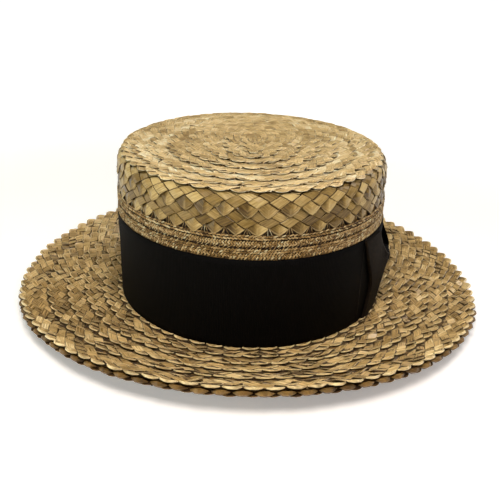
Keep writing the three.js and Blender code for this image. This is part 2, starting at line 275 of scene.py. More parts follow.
# Fold along a point's lower edge: steps in and heights in widths of the fold, and its look: 1 is a painted
# shadow line under the fold, and about 0.8 a pale rim that is partly wear and partly a painted highlight.
FOLD_IN = np.array([0.5, 0.0, 0.2, 0.75, 1.4])
FOLD_LIFT = np.array([-0.8, -0.3, 0.35, 0.5, 0.0])
FOLD_WEAR_AND_PAINTED_LIGHT = np.array([1.0, 0.84, 0.8, 0.8, 0.2])
FOLD_ROOM = 2.2
# Painted shadow line under a point's lower edge: how its width falls off across the point, and the look of
# its inner row.
SKIRT_CURVE = 4
SKIRT_PAINTED_SHADE = 0.9
# Point: places across it in half pitches, and up the rest of it behind the fold in shares.
POINT_ACROSS = np.array([-1.0, -0.82, -0.42, 0.0, 0.42, 0.82, 1.0])
POINT_REST = np.array([0.42, 1.0])
# Its upper edge at the notches and its middle, past the first strands that it passes under.
POINT_LAP = 0.6
POINT_PEAK = 0.3
# Its heights: whole point, tucked end, the half under the strands and the outer edges.
POINT_RISE = 0.1
POINT_SINK = 0.85
POINT_UNDER = 0.3
POINT_BEVEL = 0.16
# How uneven points are: share of the pitch, lean in pitches, twist and slip, roof, skew and height.
POINT_FILL = (0.93, 0.99)
POINT_LEAN = 0.03
POINT_TWIST = 0.25
POINT_SLIP = 0.25
POINT_ROOF = (0.2, 1.6)
POINT_SKEW = 0.22
POINT_BOB = 0.08
# Spread of a point's pale rim, partly wear and partly a painted highlight, its darkest tone, and how far
# its tone follows its skew, painted shade on its tilted halves.
POINT_RUB_AND_HIGHLIGHT = (0.68, 1.0)
POINT_DARKEST = 0.1
SKEW_PAINTED_SHADE = 0.2
# Painted shade in the notches covers the outermost places of the first rows of a point.
NOTCH_FROM = 0.8
NOTCH_ROWS = 3
# The fibres of a point lie aslant: cosine and sine of their turn.
FIBRE_COSINE = 0.8
FIBRE_SINE = 0.6


def tile_part(place, tooth, depth, lift, thick, uv, look):
    """Part of closed tiles from their top grid: the two long sides repeat lower by the thickness, where the
    look, which comes as its three layers, is all painted shade."""
    look = np.stack([np.broadcast_to(layer, lift.shape) for layer in look], -1)
    top = place(tooth, depth, lift)
    sides = [0, -1]
    rim = place(tooth[..., sides], depth[..., sides], lift[..., sides] - thick)
    count, rows, columns = lift.shape
    lower = np.concatenate([look[:, :, sides, :1], np.ones((count, rows, 2, 2))], -1)

    def pair(grid, low):
        flat = grid.reshape(count, rows * columns, -1)
        return np.concatenate([flat, low.reshape(count, rows * 2, -1)], 1)

    faces = tile_faces(count, rows, columns)
    return pair(top, rim), pair(uv, uv[:, :, sides]), pair(look, lower), faces


def strand_tiles(place, tooth, depth, slant, plait, cover, pale, draw):
    """Crossings of a plait, one tile each. u runs along the strand and v across it: the place is the
    crossing plus u and v times the two half diagonals. The height is a table along u plus a table across
    v, flat in the middle, so that both ends tuck under the next strands, plus a small tilt. Dust and
    painted shade lie from a little before the edge of the next row, at the depth cover, and pale, partly
    painted light, is added to the tones."""
    u, v = np.meshgrid(STRAND_ALONG, STRAND_ACROSS, indexing="ij")
    count = len(tooth)
    one = (count, 1, 1)
    across = v * (draw.uniform(*STRAND_FILL, one) + plait["snug"])
    shift = draw.normal(0, STRAND_SHIFT, one)
    teeth = tooth.reshape(one) + (u + slant * across) / 2 + shift
    rows = depth + plait["cell"] * (slant * u - across)
    rock, pitch = np.clip(draw.normal(0, 1, (2, *one)), -MOST_TILT, MOST_TILT) * plait["tilt"]
    bob = draw.normal(0, STRAND_BOB, one)
    lift = STRAND_RISE[:, None] + STRAND_CROWN + bob + rock * v + pitch * u
    step = math.hypot(plait["pitch"] / 2, plait["cell"])
    width = plait["pitch"] * plait["cell"] / step
    drift = draw.uniform(0, FIBRE_DRIFT, (count, 1, 1, 2))
    uv = np.stack(np.broadcast_arrays(u * step, across * width), -1) + drift
    tone = draw.uniform(0, 1, one) + pale
    # Painted shade: the long sides darken as slits, and the ends darken where they pass under the next
    # strands.
    edge = (0.5 + 0.5 * plait["slit_shade"]) * (np.abs(v) == STRAND_ACROSS[-1])
    dust_and_shade = plait["dust_and_shade"] * np.clip((rows - cover + DUST_AND_SHADE_REACH) / DUST_AND_SHADE_REACH, 0, 1)
    tuck = np.maximum(plait["slit_shade"] * np.abs(u) / STRAND_ALONG[-1], dust_and_shade)
    return tile_part(place, teeth, rows, lift, STRAND_THICK, uv, (tone, edge, tuck))


def point_tiles(place, tooth, plait, draw):
    """Points of a plait's edge, one scale each. The lower edge is a power curve from the tip to the two
    notches and the upper edge a straight roof that passes under the first strands. A fold runs along the
    lower edge, a table of steps in and heights round it, and the rest is nearly flat."""
    across = POINT_ACROSS
    aside = np.abs(across)
    low = plait["depth"] * aside ** plait["curve"]
    high = plait["depth"] + POINT_LAP + (plait["cell"] + POINT_PEAK) * (1 - aside)
    fold = plait["fold"] * np.minimum(1, (high - low) / (FOLD_ROOM * plait["fold"]))
    back = low + FOLD_IN[-1] * fold
    depth = np.concatenate([low + FOLD_IN[:, None] * fold, back + POINT_REST[:, None] * (high - back)])
    flat = np.zeros(len(POINT_REST))
    bend = np.concatenate([FOLD_LIFT, flat])[:, None] * fold
    wear_and_painted_light = np.concatenate([FOLD_WEAR_AND_PAINTED_LIGHT, flat])[:, None]
    # The upper end, where the point passes under the strands, darkens as painted shade.
    tuck = np.concatenate([np.zeros(len(FOLD_IN)), POINT_REST ** 2])[:, None]
    # A flange of painted shadow stands out from the point's lower edge.
    if plait["shadow_skirt"]:
        depth[0] = low - plait["shadow_skirt"] * (1 - aside ** SKIRT_CURVE)
        wear_and_painted_light[1] = SKIRT_PAINTED_SHADE
    along = depth / high.max()
    count = len(tooth)
    one = (count, 1, 1)
    lean = draw.normal(0, POINT_LEAN, one)
    teeth = tooth.reshape(one) + across * 0.5 * draw.uniform(*POINT_FILL, one) + lean * (1 - along)
    twist = draw.normal(0, POINT_TWIST, one) * across
    rows = depth + (draw.normal(0, POINT_SLIP, one) + twist) * (1 - along)
    roof = plait["roof"] * draw.uniform(*POINT_ROOF, one)
    skew = draw.normal(0, POINT_SKEW, one)
    rise = POINT_RISE + draw.normal(0, POINT_BOB, one)
    under = POINT_UNDER * np.maximum(-plait["lean"] * across, 0) * (tuck > 0)
    lower = POINT_SINK * tuck ** 2 + under + POINT_BEVEL * (aside == 1)
    lift = rise - roof * aside + skew * across + bend - lower
    out = aside * 0.5 * plait["pitch"]
    length = out * FIBRE_COSINE + depth * FIBRE_SINE
    width = depth * FIBRE_COSINE - out * FIBRE_SINE
    uv = np.stack([length, width], -1) + draw.uniform(0, FIBRE_DRIFT, (count, 1, 1, 2))
    # One half of each point is painted paler than the other, and the half that its skew raises is painted
    # paler too: painted light and shade on its facets.
    tone = draw.uniform(0, 1, one) + np.sign(across) * (plait["half"] + SKEW_PAINTED_SHADE * np.sign(skew))
    tone = np.clip(tone, POINT_DARKEST, 1)
    # A pale line along the middle of the point, partly wear and partly a painted highlight.
    wear_and_painted_light = np.maximum(wear_and_painted_light, plait["crease"] * (across == 0) * (tuck < 0.5))
    # The pale rim varies along the point: partly wear and partly a painted highlight.
    rubbed_and_highlit = wear_and_painted_light * np.where(wear_and_painted_light < 1, draw.uniform(*POINT_RUB_AND_HIGHLIGHT, (count, 1, len(across))), 1)
    # Painted shade in the notches beside the point and along its outer sides.
    shaded_notch = (aside > NOTCH_FROM) & (np.arange(len(depth))[:, None] < NOTCH_ROWS) & (plait["notch"] > 0)
    edge = np.where((aside == 1) | shaded_notch, 1, rubbed_and_highlit)
    return tile_part(place, teeth, rows, lift, plait["thick"], uv, (tone, edge, tuck))


def plait_row(place, count, levels, plait, cover, draw):
    """One row of plait: a ring of points, then levels of crossings that lean one way and the other, up
    to the depth where the next row covers it."""
    tooth = np.arange(count, dtype=float)
    parts = [point_tiles(place, tooth, plait, draw)]
    for level in range(1, levels + 1):
        odd = level % 2
        depth = plait["depth"] + level * plait["cell"]
        slant = plait["lean"] if odd else -plait["lean"]
        # Tones rise upwards along the row, painted light from above, and on the first strands.
        pale = plait["painted_light_upwards"] * min(depth / plait["row"], 1) + plait["first"] * (level == 1)
        parts.append(strand_tiles(place, tooth + odd / 2, depth, slant, plait, cover, pale, draw))
    return parts


# How far a row sinks under the next, how far before that row's edge it starts, and over what length.
DIP = 0.45
DIP_LEAD = 0.8
DIP_LENGTH = 3.0


def dip(depth, width):
    """How far a row sinks where the next row covers it: a straight ramp from just before its edge."""
    return DIP * np.clip((depth - width + DIP_LEAD) / DIP_LENGTH, 0, 1)


FEWEST_POINTS = 8


def crown_rows(edges, phases, levels, plait, draw):
    """Rows of plait on the crown, from each edge but the last up to the next one. Their points hang down,
    and each row sinks by its fall over its width, so that the row above lies over it."""
    parts = []
    for edge, after, phase in zip(edges, edges[1:], phases):
        out = crown_out(edge)
        count = max(FEWEST_POINTS, round(oval_length(out) / plait["pitch"]))
        turn = even_turn(out, count)

        def place(tooth, depth, lift):
            sink = plait["fall"] * depth / plait["row"] + dip(depth, after - edge)
            return crown_point(turn(tooth + phase), edge + depth, lift - sink)

        parts += plait_row(place, count, levels, plait, after - edge, draw)
    return parts


def brim_rows(edges, levels, z, plait, draw, sag=0.0, way=1):
    """Rows of plait on the brim, from each edge but the first in to the one before, with their points
    outward. way -1 turns them to face the floor."""
    parts = []
    for before, edge in zip(edges, edges[1:]):
        count = round(oval_length(edge) / plait["pitch"])
        turn = even_turn(edge, count, way)
        phase = draw.uniform(0, 1)

        def place(tooth, depth, lift):
            height = plait["fall"] * (1 - depth / plait["row"]) + lift - dip(depth, edge - before)
            return brim_point(turn(tooth + phase), edge - depth, z + way * height, sag)

        parts += plait_row(place, count, levels, plait, edge - before, draw)
    return parts


# Backing sheets

RING_COUNT = 240
BACKING_NUMBER = 1


def ring_part(section, number, shade=0.0):
    """Closed ring from a section: section(angle) gives its corners as an array of points at each angle,
    and neighbouring sections join in quads all round. shade is painted shade on its outer corners, which
    come first."""
    angle = np.linspace(0, TURN, RING_COUNT, endpoint=False)
    points = np.stack(section(angle), 1)
    corners = points.shape[1]
    grid = np.arange(RING_COUNT * corners).reshape(RING_COUNT, corners)
    ahead = np.roll(grid, -1, axis=0)
    quads = np.stack([grid, ahead, np.roll(ahead, -1, axis=1), np.roll(grid, -1, axis=1)], -1)
    steps = np.linalg.norm(points - np.roll(points, 1, axis=1), axis=-1)
    run = np.linalg.norm(points[:, :1] - np.roll(points[:, :1], 1, axis=0), axis=-1)
    uv = np.stack(np.broadcast_arrays(np.cumsum(run, axis=0), np.cumsum(steps, axis=1)), -1)
    look = np.zeros_like(points)
    look[:, :corners // 2] = shade
    return points, uv, look, [(quads.reshape(-1, 4), number)]


def crown_sheet(climbs, face, back, shade=0.0, number=BACKING_NUMBER):
    """Ring on the crown through a list of climbs, between the lifts of its face and its back."""
    corners = [(climb, face) for climb in climbs] + [(climb, back) for climb in climbs[::-1]]
    return ring_part(lambda angle: [crown_point(angle, *corner) for corner in corners], number, shade)


def brim_sheet(rows, z, sag=0.0):
    """Ring on the brim through rows of (out, top, bottom), both heights above z."""
    corners = [(out, z + bottom) for out, _, bottom in rows]
    corners += [(out, z + top) for out, top, _ in rows[::-1]]
    return ring_part(lambda angle: [brim_point(angle, *corner, sag) for corner in corners], BACKING_NUMBER)


# Fine braid

GRAIN_ROUND = 6
GRAIN_STATIONS = np.array([-0.8, -0.3, 0.3, 0.8])
# How uneven spindles are: size, slope, climb and lift.
GRAIN_SIZES = (0.85, 1.15)
GRAIN_SWING = 0.08
GRAIN_STRAY = 0.05
GRAIN_BOB = 0.06
# Millimetres along a wavy row for one radian of its wave.
WAVE_LENGTH = 4.1


def grains(place, along, climb, slope, size, lift, draw):
    """Small spindles laid on the crown. Each is an ellipsoid of half sizes size, along, across and out,
    turned by slope in the face, with its rings at fixed stations and a point at each end."""
    count = len(along)
    one = (count, 1, 1)
    turn = np.linspace(0, TURN, GRAIN_ROUND, endpoint=False)
    station, turn = np.meshgrid(GRAIN_STATIONS, turn, indexing="ij")
    radius = np.sqrt(1 - station ** 2)
    body = np.stack([station, radius * np.cos(turn), radius * np.sin(turn)], -1).reshape(-1, 3)
    body = np.concatenate([body, [[-1, 0, 0], [1, 0, 0]]])
    local = body[None] * np.asarray(size) * draw.uniform(*GRAIN_SIZES, one)
    tilt = (slope + draw.normal(0, GRAIN_SWING, count))[:, None]
    run = along[:, None] + local[..., 0] * np.cos(tilt) - local[..., 1] * np.sin(tilt)
    rise = climb[:, None] + local[..., 0] * np.sin(tilt) + local[..., 1] * np.cos(tilt)
    points = place(run, rise, local[..., 2] + lift[:, None])
    uv = local[..., :2] + draw.uniform(0, FIBRE_DRIFT, (count, 1, 2))
    look = np.zeros((*run.shape, 3))
    look[..., 0] = draw.uniform(0, 1, (count, 1))
    stations = len(GRAIN_STATIONS)
    grid = np.arange(stations * GRAIN_ROUND).reshape(stations, GRAIN_ROUND)
    ahead = np.roll(grid, -1, axis=1)
    quads = np.stack([grid[:-1], ahead[:-1], ahead[1:], grid[1:]], -1).reshape(-1, 4)[:, ::-1]
    start = np.full(GRAIN_ROUND, grid.size)
    caps = np.concatenate([np.stack([grid[0], ahead[0], start], -1),
                           np.stack([ahead[-1], grid[-1], start + 1], -1)])
    return points, uv, look, [(copies(block, count, len(body)), 0) for block in (quads, caps)]


def crown_girth(climb):
    """Length of a ring at this climb, and a place on the crown from millimetres along it, a climb and a
    lift."""
    length = oval_length(crown_out(climb))
    turn = even_turn(crown_out(climb), length)
    return length, lambda along, rise, lift: crown_point(turn(along), rise, lift)


def grain_row(foot, draw, up, pitch, slope, size, lift, wave):
    """A row of spindles round the crown, up from a braid's foot, at even spacing, all with one slope."""
    climb = foot + up
    length, place = crown_girth(climb)
    count = round(length / pitch)
    along = np.arange(count) * length / count
    climbs = climb + wave * np.sin(along / WAVE_LENGTH) + draw.normal(0, GRAIN_STRAY, count)
    lifts = lift + draw.normal(0, GRAIN_BOB, count)
    return grains(place, along, climbs, slope, size, lifts, draw)


# Materials

TONE_PLACES = (0.0, 0.35, 0.65, 1.0)
RIB_PLACES = (0.0, 0.5, 1.0)


def linear(code):
    """Linear colour from an sRGB hex value."""
    value = np.array([int(code[i:i + 2], 16) for i in (1, 3, 5)]) / 255
    value = np.where(value <= 0.04045, value / 12.92, ((value + 0.055) / 1.055) ** 2.4)
    return (*value, 1.0)


def add_node(tree, kind, output, inputs=(), **settings):
    """Add a shader node, set its properties and its inputs by name or number, and give one of its
    outputs. An input that is another node's output is linked to it."""
    node = tree.nodes.new("ShaderNode" + kind)
    for name, value in settings.items():
        setattr(node, name, value)
    for socket, value in dict(inputs).items():
        if isinstance(value, bpy.types.NodeSocket):
            tree.links.new(value, node.inputs[socket])
        else:
            node.inputs[socket].default_value = value
    return node.outputs[output]


def new_material(name):
    """Material with an empty node tree, and that tree."""
    material = bpy.data.materials.new(name)
    material.use_nodes = True
    material.node_tree.nodes.clear()
    return material, material.node_tree


def add_surface(tree, inputs):
    """Principled shader as the surface of a material."""
    shader = add_node(tree, "BsdfPrincipled", "BSDF", inputs)
    end = tree.nodes.new("ShaderNodeOutputMaterial")
    tree.links.new(shader, end.inputs["Surface"])


def look_parts(tree):
    """Outputs for the look of a point: its tone in red, its edge in green and its tuck in blue."""
    look = add_node(tree, "Attribute", "Color", attribute_name="look")
    return add_node(tree, "SeparateColor", "Red", {"Color": look}).node.outputs


def smooth_range(tree, value, ends):
    """Smooth step of a value between ends, in the Map Range node's own words."""
    return add_node(tree, "MapRange", "Result", {"Value": value, **ends}, interpolation_type="SMOOTHSTEP")


def calculate(tree, operation, *terms):
    """Math node over its terms."""
    return add_node(tree, "Math", "Value", dict(enumerate(terms)), operation=operation)


def tint(tree, factor, colour, code):
    """Mix of a colour with a hex colour, by a factor."""
    return add_node(tree, "Mix", 2, {"Factor": factor, 6: colour, 7: linear(code)}, data_type="RGBA")


def ramp(tree, source, places, codes):
    """Colour ramp through hex colours at places, fed by one output."""
    colour = add_node(tree, "ValToRGB", "Color", {"Fac": source})
    elements = colour.node.color_ramp.elements
    while len(elements) < len(places):
        elements.new(0.5)
    for element, place, code in zip(elements, places, codes):
        element.position = place
        element.color = linear(code)
    return colour


def varnished_straw(name, tones, roughness, dust_and_shade, grain, mix, rub_and_highlight, gloss):
    """Varnished wheat straw, split flat and plaited: each splint has its own tone from pale gold to
    brown, fine fibres along it, a satin shine, and dust and painted shade darkening the slits between
    splints."""
    material, tree = new_material(name)
    parts = look_parts(tree)
    uv = add_node(tree, "UVMap", "UV", uv_map="straw")
    # Fibres 0.3 mm wide are drawn 0.8 mm wide so that they show, and 11 mm long; the map is in centimetres.
    stretch = add_node(tree, "Mapping", "Vector", {"Vector": uv, "Scale": (0.9, 12.0, 1.0)})
    fibre = add_node(tree, "TexNoise", "Fac", {"Vector": stretch, "Scale": 1.0, "Detail": 3.0})
    # Stains are about 45 mm across; Object coordinates are in metres.
    place = add_node(tree, "TexCoord", "Object")
    stain = add_node(tree, "TexNoise", "Fac", {"Vector": place, "Scale": 22.0, "Detail": 4.0})
    streak = calculate(tree, "MULTIPLY_ADD", fibre, grain, 0.2 - 0.5 * grain - 0.5 * mix)
    blotch = calculate(tree, "MULTIPLY_ADD", stain, 0.5, streak)
    tone = calculate(tree, "MULTIPLY_ADD", parts["Red"], mix, blotch)
    colour = ramp(tree, tone, TONE_PLACES, tones)
    # Worn edges are rubbed to the palest tone, partly wear and partly a painted highlight, and past them
    # the slits are dark with painted shade.
    wear_and_painted_light = ramp(tree, parts["Green"], (0.5, 0.8, 0.86, 0.92), ("#000000", rub_and_highlight, rub_and_highlight, "#000000"))
    rubbed_and_highlit = tint(tree, wear_and_painted_light, colour, tones[-1])
    # Painted shade: past the edges and at the tucked ends the straw darkens towards dark brown, and is
    # duller there.
    edge = smooth_range(tree, parts["Green"], {"From Min": 0.86, "To Max": 0.9 * dust_and_shade})
    tuck = smooth_range(tree, parts["Blue"], {"From Min": 0.68, "From Max": 0.88, "To Max": dust_and_shade})
    grime_and_shade = calculate(tree, "MAXIMUM", edge, tuck)
    dusted_and_shaded = tint(tree, grime_and_shade, rubbed_and_highlit, "#33210c")
    shine = add_node(tree, "MapRange", "Result",
                     {"Value": fibre, "To Min": roughness - 0.1, "To Max": roughness + 0.14})
    dull = calculate(tree, "MAXIMUM", shine, grime_and_shade)
    bump = add_node(tree, "Bump", "Normal", {"Height": fibre, "Strength": 0.35, "Distance": 0.0003})
    add_surface(tree, {"Base Color": dusted_and_shaded, "Roughness": dull, "Normal": bump, "IOR": 1.5,
                       "Coat Weight": 0.2 * gloss, "Coat Roughness": 0.25, "Specular IOR Level": gloss})
    return material


def straw_backing():
    """Reverse of the plait, dull unvarnished straw seen in the slits and inside the crown: brown, with
    slanted ribs a strand apart, darkened with painted shade where the look is red."""
    material, tree = new_material("unvarnished_straw_reverse")
    uv = add_node(tree, "UVMap", "UV", uv_map="straw")
    # Strands are 4.9 mm wide at 27 degrees; the map is in centimetres.
    lean = add_node(tree, "Mapping", "Vector", {"Vector": uv, "Rotation": (0, 0, math.radians(27))})
    ribs = add_node(tree, "TexWave", "Fac",
                    {"Vector": lean, "Scale": 0.64, "Distortion": 1.2, "Detail": 2.0}, bands_direction="Y")
    colour = ramp(tree, ribs, RIB_PLACES, ("#3a2913", "#6a4e28", "#8a6a3c"))
    shaded_backing = tint(tree, look_parts(tree)["Red"], colour, "#140c05")
    bump = add_node(tree, "Bump", "Normal", {"Height": ribs, "Strength": 0.5, "Distance": 0.0006})
    add_surface(tree, {"Base Color": shaded_backing, "Normal": bump, "Roughness": 0.75, "IOR": 1.5})
    return material


def grosgrain(name, tones):
    """Black grosgrain ribbon, rayon woven over thick weft: upright ribs about a millimetre apart, a soft
    brown-black sheen, paler tones on the bow as painted light, and a paler rim where the look is green,
    a painted highlight on the front loop's upper edge and a pale line at the band's lap."""
    material, tree = new_material(name)
    uv = add_node(tree, "UVMap", "UV", uv_map="straw")
    # Ribs 1.1 mm apart, a little coarser than the real 0.8 mm so that they show.
    ribs = add_node(tree, "TexWave", "Fac",
                    {"Vector": uv, "Scale": 2.9, "Distortion": 0.4, "Detail": 1.0}, bands_direction="X")
    # Flecks are about 3 mm across; the map is in centimetres.
    fleck = add_node(tree, "TexNoise", "Fac", {"Vector": uv, "Scale": 3.0, "Detail": 5.0})
    wear = add_node(tree, "MapRange", "Result", {"Value": fleck, "From Min": 0.3, "From Max": 0.7})
    colour = ramp(tree, calculate(tree, "MULTIPLY", ribs, wear), RIB_PLACES, tones)
    rim = smooth_range(tree, look_parts(tree)["Green"], {"From Min": 0.93})
    wear_and_painted_light = tint(tree, rim, colour, "#5c544c")
    bump = add_node(tree, "Bump", "Normal", {"Height": ribs, "Strength": 0.45, "Distance": 0.00025})
    add_surface(tree, {"Base Color": wear_and_painted_light, "Normal": bump, "Roughness": 0.75, "IOR": 1.4,
                       "Specular IOR Level": 0.1, "Sheen Weight": 0.01, "Sheen Roughness": 0.4,
                       "Sheen Tint": linear("#6a5a4a")})
    return material


# Straws: name, tones from dark to pale, roughness, how dark the dust and painted shade are, how strongly
# the fibres and each splint's own tone show, how far worn edges are rubbed pale, partly as a painted
# highlight, and gloss. The side and the under layer are darker copies of the same straw: painted shade, and
# on the side partly a browner straw.
STRAWS = [
    ("varnished_wheat_straw_tip", ("#65502e", "#ae9463", "#e0c690", "#f7fbe3"),
     0.36, 0.95, 1.2, 0.32, "#d0d0d0", 0.25),
    ("varnished_wheat_straw_side_browner_painted_shade", ("#423015", "#725c2f", "#917946", "#bda66f"),
     0.34, 0.95, 1.0, 0.75, "#a0a0a0", 0.25),
    ("varnished_wheat_straw_brim", ("#654c28", "#aa8c56", "#d6b579", "#ffecb7"),
     0.28, 0.95, 1.5, 0.46, "#d8d8d8", 0.6),
    ("varnished_wheat_straw_under_painted_shade", ("#2b1804", "#4d3413", "#684a1f", "#8d703d"),
     0.4, 0.95, 1.5, 0.7, "#c0c0c0", 0.3),
    ("split_straw_braid", ("#402b13", "#836636", "#ae9464", "#c2c2a0"),
     0.5, 0.8, 1.5, 0.6, "#000000", 0.3),
]
tip_straw, side_straw_browner_painted_shade, brim_straw, under_straw_painted_shade, braid_straw = (varnished_straw(*row) for row in STRAWS)
backing = straw_backing()
ribbon_black = grosgrain("black_rayon_grosgrain", ("#010101", "#030202", "#080606"))
# The bow's copy is paler: painted light where its loops catch the light.
bow_black_painted_light = grosgrain("black_rayon_grosgrain_bow_painted_light", ("#0a0603", "#19120b", "#342515"))


# Crown

# Backing of the plaits: lift of its face, its thickness under the tip and the side, and its inner end.
CORE_FACE = -2.6
TIP_BACKING = 1.2
SIDE_BACKING = 1.0
TIP_SLIT = SHOULDER_END + HALF_X + FLARE - SHOULDER_RADIUS - 0.6
# Where the backing sheets of the tip and the side meet, behind the points of the tip's first row.
TIP_BACKING_START = TIP_ROW_EDGES[0] + TIP_PLAIT["depth"] + 0.6
SIDE_BACKING_END = TIP_ROW_EDGES[0] + TIP_PLAIT["depth"] + 0.4
SIDE_BACKING_LAP = 2.5
# Painted shade on the outer face of the backing sheets, seen through the gaps and slits of the side plait
# and the braids.
SIDE_SHADE = 0.85
BRAID_SHADE = 0.9
LOWER_BRAID_FACE = -1.0
UPPER_BRAID_FACE = -1.1
UPPER_BRAID_INSET = 0.6

# Rows of spindles in the braids: up from the braid's foot, pitch, slope, half sizes, lift and wave.
LOWER_BRAID = [
    (0.55, 2.1, 0.95, (1.1, 0.62, 0.6), 0.3, 0.0),
    (1.35, 1.7, -0.8, (1.2, 0.5, 0.5), 0.0, 0.0),
    (2.1, 1.7, 0.8, (1.2, 0.5, 0.5), 0.05, 0.0),
    (3.6, 1.9, 0.5, (1.3, 0.55, 0.65), -0.1, 0.08),
    (5.1, 1.9, 0.5, (1.3, 0.6, 0.7), -0.1, 0.1),
]
UPPER_BRAID = [
    (0.1, 2.6, 0.7, (1.1, 0.26, 0.26), -0.5, 0.0),
    (1.5, 1.65, 0.75, (1.15, 0.52, 0.45), 0.05, 0.0),
    (2.5, 1.65, -0.75, (1.15, 0.52, 0.45), 0.15, 0.0),
    (3.5, 1.65, 0.75, (1.15, 0.52, 0.45), 0.05, 0.0),
    (5.5, 2.0, -0.4, (1.3, 0.58, 0.65), -0.05, 0.12),
    (7.0, 2.3, 0.3, (1.45, 0.48, 0.5), -0.2, 0.2),
]

# Bare threads in a gap: which way each leans, how far that sets them apart and turns them, their height
# above the gap's foot, lift and half sizes.
THREAD_LEANS = np.array([-0.55, 0.05, 0.6])
THREAD_SPREAD = 2.2
THREAD_STRAY = 0.3
THREAD_TURN = 0.75
THREAD_UP = 1.4
THREAD_LIFT = -1.1
THREAD_SIZE = (3.0, 0.2, 0.2)


def crown_tip():
    """Flat top: rows of plait round a long core, over a backing sheet that follows the shoulder."""
    draw = np.random.default_rng(11)
    phases = draw.uniform(0, 1, len(TIP_ROW_EDGES))
    parts = crown_rows(TIP_ROW_EDGES[:2], phases[:1], 4, SHOULDER_PLAIT, draw)
    parts += crown_rows(TIP_ROW_EDGES[1:4], phases[1:3], 4, RIM_PLAIT, draw)
    parts += crown_rows(TIP_ROW_EDGES[3:], phases[3:], 4, TIP_PLAIT, draw)
    climbs = [TIP_BACKING_START, SHOULDER_END, TIP_SLIT]
    parts.append(crown_sheet(climbs, CORE_FACE, CORE_FACE - TIP_BACKING))
    straw_piece("crown_tip_plait", "crown_tip", [tip_straw, backing], parts)


def side_plait():
    """Two rows of plait on the crown's side, the lower one with free points over open gaps."""
    draw = np.random.default_rng(12)
    parts = crown_rows(SIDE_ROW_EDGES[:2], SIDE_PHASES[:1], 5, SIDE_PLAIT, draw)
    parts += crown_rows(SIDE_ROW_EDGES[1:], SIDE_PHASES[1:], 3, UPPER_PLAIT, draw)
    climbs = [highest("braid_upper", 2) - SIDE_BACKING_LAP, SHOULDER_START + 1.0, SIDE_BACKING_END]
    parts.append(crown_sheet(climbs, CORE_FACE, CORE_FACE - SIDE_BACKING, SIDE_SHADE))
    straw_piece("side_plait_straw", "side_plait", [side_straw_browner_painted_shade, backing], parts)


def braid_lower():
    """Fancy braid above the ribbon: a narrow herringbone tape with a beaded edge, and two cords."""
    draw = np.random.default_rng(13)
    parts = [grain_row(lowest("braid_lower", 2), draw, *row) for row in LOWER_BRAID]
    climbs = [BAND_TOP, highest("braid_lower", 2)]
    parts.append(crown_sheet(climbs, LOWER_BRAID_FACE, -WALL, BRAID_SHADE))
    straw_piece("braid_lower_straw", "braid_lower", [braid_straw, backing], parts)


def braid_upper():
    """Fancy braid under the plait: ladder stitches over a gap darkened with painted shade, a broad
    herringbone tape, a groove and two thin cords, with bare threads fanned across the open gaps above."""
    draw = np.random.default_rng(14)
    parts = [grain_row(lowest("braid_upper", 2), draw, *row) for row in UPPER_BRAID]
    parts.append(spider_threads(draw))
    climbs = [highest("braid_lower", 2), highest("braid_upper", 2) - UPPER_BRAID_INSET]
    parts.append(crown_sheet(climbs, UPPER_BRAID_FACE, -WALL, BRAID_SHADE))
    straw_piece("braid_upper_straw", "braid_upper", [braid_straw, backing], parts)


def spider_threads(draw):
    """Three bare threads in each open gap below the side plait, fanned from the cord to the notch."""
    foot = SIDE_ROW_EDGES[0]
    length, place = crown_girth(foot)
    gaps = round(length / SIDE_PLAIT["pitch"])
    count = gaps * len(THREAD_LEANS)
    middle = (np.arange(gaps)[:, None] + 0.5 + SIDE_PHASES[0]) * length / gaps
    along = (middle + THREAD_LEANS * THREAD_SPREAD).ravel() + draw.normal(0, THREAD_STRAY, count)
    climb = np.full(count, foot + THREAD_UP)
    slope = np.tile(math.pi / 2 + THREAD_TURN * THREAD_LEANS, gaps)
    lift = np.full(count, THREAD_LIFT)
    return grains(place, along, climb, slope, THREAD_SIZE, lift, draw)


def crown_base():
    """Straw wall of the crown behind the ribbon, down to the brim."""
    parts = [crown_sheet([lowest("crown_base", 2), BAND_TOP], 0.0, -WALL, number=0)]
    straw_piece("crown_base_wall", "crown_base", [backing], parts)


# Brim

# Backing sheets of the brim's layers: knee, inset of the edge behind the points, and heights of the top
# and bottom at the crown, the end of the flat ring, the knee and the edge.
SHEET_KNEE = 30.0
SHEET_INSET = BRIM_PLAIT["depth"] + 0.8
BRIM_SHEET = [(-WALL, -0.9, -1.8), (BRIM_FLAT, -0.9, -1.8), (SHEET_KNEE, -1.0, -1.8),
              (BRIM_WIDTH - SHEET_INSET, -0.6, -1.4)]
UNDER_SHEET = [(-WALL, 0.4, 0.0), (BRIM_FLAT, 0.4, 0.0), (SHEET_KNEE, 0.3, -0.1),
               (UNDER_WIDTH - SHEET_INSET, 0.2, -0.2)]


def brim():
    """Upper layer of the brim: six rows of plait that lap outwards, over a backing sheet."""
    draw = np.random.default_rng(15)
    parts = brim_rows(BRIM_ROW_EDGES[:2], 0, BRIM_FACE, NEAR_PLAIT, draw)
    parts += brim_rows(BRIM_ROW_EDGES[1:3], 3, BRIM_FACE, BRIM_PLAIT, draw)
    parts += brim_rows(BRIM_ROW_EDGES[2:-1], 4, BRIM_FACE, BRIM_PLAIT, draw)
    parts += brim_rows(BRIM_ROW_EDGES[-2:], 5, BRIM_FACE, EDGE_PLAIT, draw)
    parts.append(brim_sheet(BRIM_SHEET, BRIM_TOP))
    straw_piece("brim_plait", "brim", [brim_straw, backing], parts)


